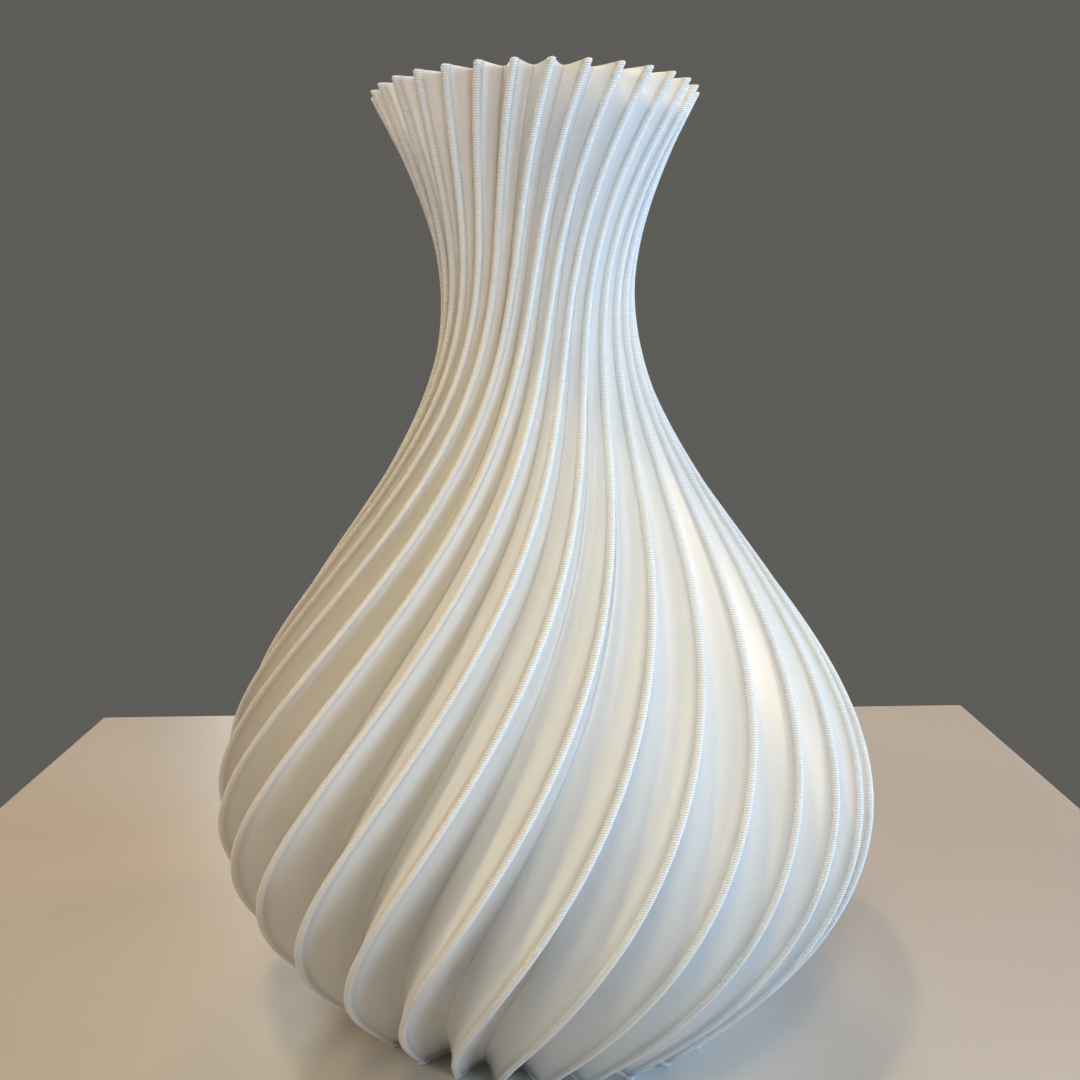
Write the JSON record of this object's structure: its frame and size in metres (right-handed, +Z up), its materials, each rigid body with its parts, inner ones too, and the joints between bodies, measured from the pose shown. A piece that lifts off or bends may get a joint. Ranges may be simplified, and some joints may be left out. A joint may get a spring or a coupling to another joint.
{
  "type": "vase",
  "caption": "Tall bottle-shaped vase with a thin, deeply fluted wall that twists from a star-shaped foot to an open flared rim, in white printed plastic.",
  "frame": {"origin": "centre of the foot, in the plane that the vase stands on", "axes": "+Z up along the vase's axis, -Y towards the side that the picture shows"},
  "size_m": [0.1478, 0.1477, 0.2],
  "materials": {
    "wall_plastic": "white satin, with fine horizontal layer lines and a rope-like bead along each ridge",
    "floor_plastic": "white satin, with fine straight lines side by side"
  },
  "bodies": {
    "root": {"floor_plate": "floor_plastic", "heel_wall": "wall_plastic", "belly_wall": "wall_plastic", "shoulder_wall": "wall_plastic", "waist_wall": "wall_plastic", "neck_wall": "wall_plastic", "rim_wall": "wall_plastic"}
  },
  "joints": []
}
